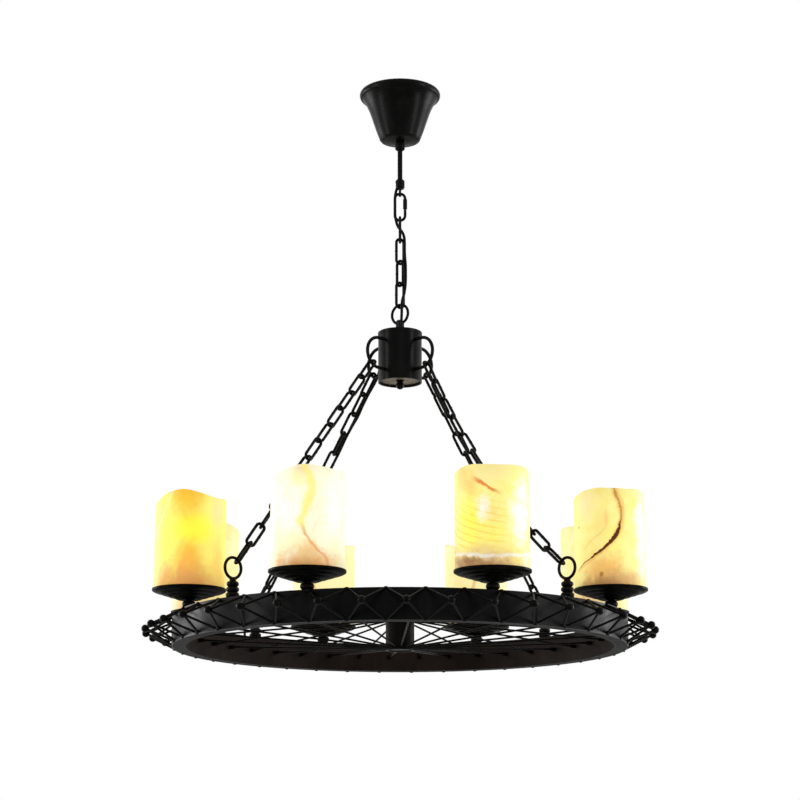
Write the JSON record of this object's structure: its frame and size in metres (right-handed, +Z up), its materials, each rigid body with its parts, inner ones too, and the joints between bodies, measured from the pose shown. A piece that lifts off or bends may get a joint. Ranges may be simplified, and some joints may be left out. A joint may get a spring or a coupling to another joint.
{
  "type": "ring chandelier",
  "caption": "Iron ring chandelier: marble candle shades on drip pans round a spoked ring, hung by chains from a cylindrical hub and a canopy.",
  "frame": {"origin": "on the ceiling plane at the canopy's axis, midway between the bracket's two slots", "axes": "+Z up into the ceiling, +X along the bracket to the viewer's right, -Y towards the viewer"},
  "size_m": [0.7998, 0.7998, 0.9224],
  "materials": {
    "iron": "satin black, soft grey highlights",
    "chain_iron": "satin black chain",
    "ring_iron": "satin charcoal",
    "hub_underside": "dull brown black",
    "plated_steel": "zinc plated",
    "brass_screw": "bright",
    "terminal_plastic": "ivory",
    "lamp_holder_black": "matt black",
    "cable_black": "dull black sheath",
    "lead_white": "white sleeve",
    "bulb_glass": "frosted warm white glass",
    "marble": "polished honey marble, lit from inside"
  },
  "bodies": {
    "ceiling_mount": {"ceiling_bracket": "plated_steel", "earth_screw": "brass_screw", "terminal_block": "terminal_plastic", "stem_tube": "iron", "stem_lock_nuts": "plated_steel", "stem_collar": "iron", "main_cable": "cable_black"},
    "canopy": {"canopy": "iron", "canopy_nut": "iron"},
    "quick_link": {"quick_link": "chain_iron"},
    "quick_link_sleeve": {"quick_link_sleeve": "chain_iron"},
    "center_link_1": {"center_link_1": "chain_iron"},
    "center_link_2": {"center_link_2": "chain_iron"},
    "center_link_3": {"center_link_3": "chain_iron"},
    "center_link_4": {"center_link_4": "chain_iron"},
    "hub_ring": {"hub_ring": "chain_iron"},
    "pendant": {"hub_nipple": "iron", "hub_lid": "iron", "hub_shell": "iron", "hub_base": "hub_underside", "hub_tie_rod": "plated_steel", "hub_finial": "iron", "hub_loops": "iron", "side_chain_1": "chain_iron", "side_chain_2": "chain_iron", "side_chain_3": "chain_iron", "side_chain_4": "chain_iron", "eye_bolts": "iron", "ring_nuts": "plated_steel", "ring_outer_band": "ring_iron", "ring_inner_band": "ring_iron", "ring_top_plate": "ring_iron", "ring_bottom_plate": "ring_iron", "lattice_rods": "ring_iron", "lattice_balls": "iron", "spindle": "ring_iron", "spokes": "ring_iron", "spoke_nipples": "ring_iron", "lamp_stems": "iron", "drip_pans": "iron", "lamp_holders": "lamp_holder_black", "ring_cable": "cable_black", "ring_wiring": "lead_white"},
    "shade_1": {"shade_1": "marble"},
    "shade_2": {"shade_2": "marble"},
    "shade_3": {"shade_3": "marble"},
    "shade_4": {"shade_4": "marble"},
    "shade_5": {"shade_5": "marble"},
    "shade_6": {"shade_6": "marble"},
    "shade_7": {"shade_7": "marble"},
    "shade_8": {"shade_8": "marble"},
    "bulb_1": {"bulb_1": "bulb_glass"},
    "bulb_2": {"bulb_2": "bulb_glass"},
    "bulb_3": {"bulb_3": "bulb_glass"},
    "bulb_4": {"bulb_4": "bulb_glass"},
    "bulb_5": {"bulb_5": "bulb_glass"},
    "bulb_6": {"bulb_6": "bulb_glass"},
    "bulb_7": {"bulb_7": "bulb_glass"},
    "bulb_8": {"bulb_8": "bulb_glass"}
  },
  "joints": [
    {"name": "quick_link_swing", "type": "hinge", "parent": "ceiling_mount", "child": "quick_link", "pos_m": [0, 0, -0.17625], "axis": [1, 0, 0], "range_deg": [-12, 12], "deforming": ["main_cable"]},
    {"name": "center_link_1_swing", "type": "hinge", "parent": "quick_link", "child": "center_link_1", "pos_m": [0, 0, -0.21696], "axis": [0, 1, 0], "range_deg": [-12, 12], "deforming": ["main_cable"]},
    {"name": "center_link_2_swing", "type": "hinge", "parent": "center_link_1", "child": "center_link_2", "pos_m": [0, 0, -0.2539], "axis": [0.9135, 0.4067, 0], "range_deg": [-12, 12], "deforming": ["main_cable"]},
    {"name": "center_link_3_swing", "type": "hinge", "parent": "center_link_2", "child": "center_link_3", "pos_m": [0, 0, -0.29085], "axis": [0.7431, -0.6691, 0], "range_deg": [-12, 12], "deforming": ["main_cable"]},
    {"name": "center_link_4_swing", "type": "hinge", "parent": "center_link_3", "child": "center_link_4", "pos_m": [0, 0, -0.32781], "axis": [0.9135, 0.4067, 0], "range_deg": [-12, 12], "deforming": ["main_cable"]},
    {"name": "hub_ring_swing", "type": "hinge", "parent": "center_link_4", "child": "hub_ring", "pos_m": [0, 0, -0.3648], "axis": [0.809, -0.5878, 0], "range_deg": [-12, 12], "deforming": ["main_cable"]},
    {"name": "pendant_swing", "type": "hinge", "parent": "hub_ring", "child": "pendant", "pos_m": [0, 0, -0.39631], "axis": [0.809, -0.5878, 0], "range_deg": [-12, 12], "deforming": ["main_cable"]},
    {"name": "canopy_slide", "type": "slide", "parent": "ceiling_mount", "child": "canopy", "axis": [0, 0, -1], "range_m": [0, 0.05]},
    {"name": "quick_link_sleeve_turn_down", "type": "slide", "parent": "quick_link", "child": "quick_link_sleeve", "axis": [0, 0, -1], "range_m": [0, 0.011]},
    {"name": "shade_1_lift", "type": "slide", "parent": "pendant", "child": "shade_1", "axis": [0, 0, 1], "range_m": [0, 0.16]},
    {"name": "shade_2_lift", "type": "slide", "parent": "pendant", "child": "shade_2", "axis": [0, 0, 1], "range_m": [0, 0.16]},
    {"name": "shade_3_lift", "type": "slide", "parent": "pendant", "child": "shade_3", "axis": [0, 0, 1], "range_m": [0, 0.16]},
    {"name": "shade_4_lift", "type": "slide", "parent": "pendant", "child": "shade_4", "axis": [0, 0, 1], "range_m": [0, 0.16]},
    {"name": "shade_5_lift", "type": "slide", "parent": "pendant", "child": "shade_5", "axis": [0, 0, 1], "range_m": [0, 0.16]},
    {"name": "shade_6_lift", "type": "slide", "parent": "pendant", "child": "shade_6", "axis": [0, 0, 1], "range_m": [0, 0.16]},
    {"name": "shade_7_lift", "type": "slide", "parent": "pendant", "child": "shade_7", "axis": [0, 0, 1], "range_m": [0, 0.16]},
    {"name": "shade_8_lift", "type": "slide", "parent": "pendant", "child": "shade_8", "axis": [0, 0, 1], "range_m": [0, 0.16]},
    {"name": "bulb_1_lift", "type": "slide", "parent": "pendant", "child": "bulb_1", "axis": [0, 0, 1], "range_m": [0, 0.16]},
    {"name": "bulb_2_lift", "type": "slide", "parent": "pendant", "child": "bulb_2", "axis": [0, 0, 1], "range_m": [0, 0.16]},
    {"name": "bulb_3_lift", "type": "slide", "parent": "pendant", "child": "bulb_3", "axis": [0, 0, 1], "range_m": [0, 0.16]},
    {"name": "bulb_4_lift", "type": "slide", "parent": "pendant", "child": "bulb_4", "axis": [0, 0, 1], "range_m": [0, 0.16]},
    {"name": "bulb_5_lift", "type": "slide", "parent": "pendant", "child": "bulb_5", "axis": [0, 0, 1], "range_m": [0, 0.16]},
    {"name": "bulb_6_lift", "type": "slide", "parent": "pendant", "child": "bulb_6", "axis": [0, 0, 1], "range_m": [0, 0.16]},
    {"name": "bulb_7_lift", "type": "slide", "parent": "pendant", "child": "bulb_7", "axis": [0, 0, 1], "range_m": [0, 0.16]},
    {"name": "bulb_8_lift", "type": "slide", "parent": "pendant", "child": "bulb_8", "axis": [0, 0, 1], "range_m": [0, 0.16]}
  ]
}
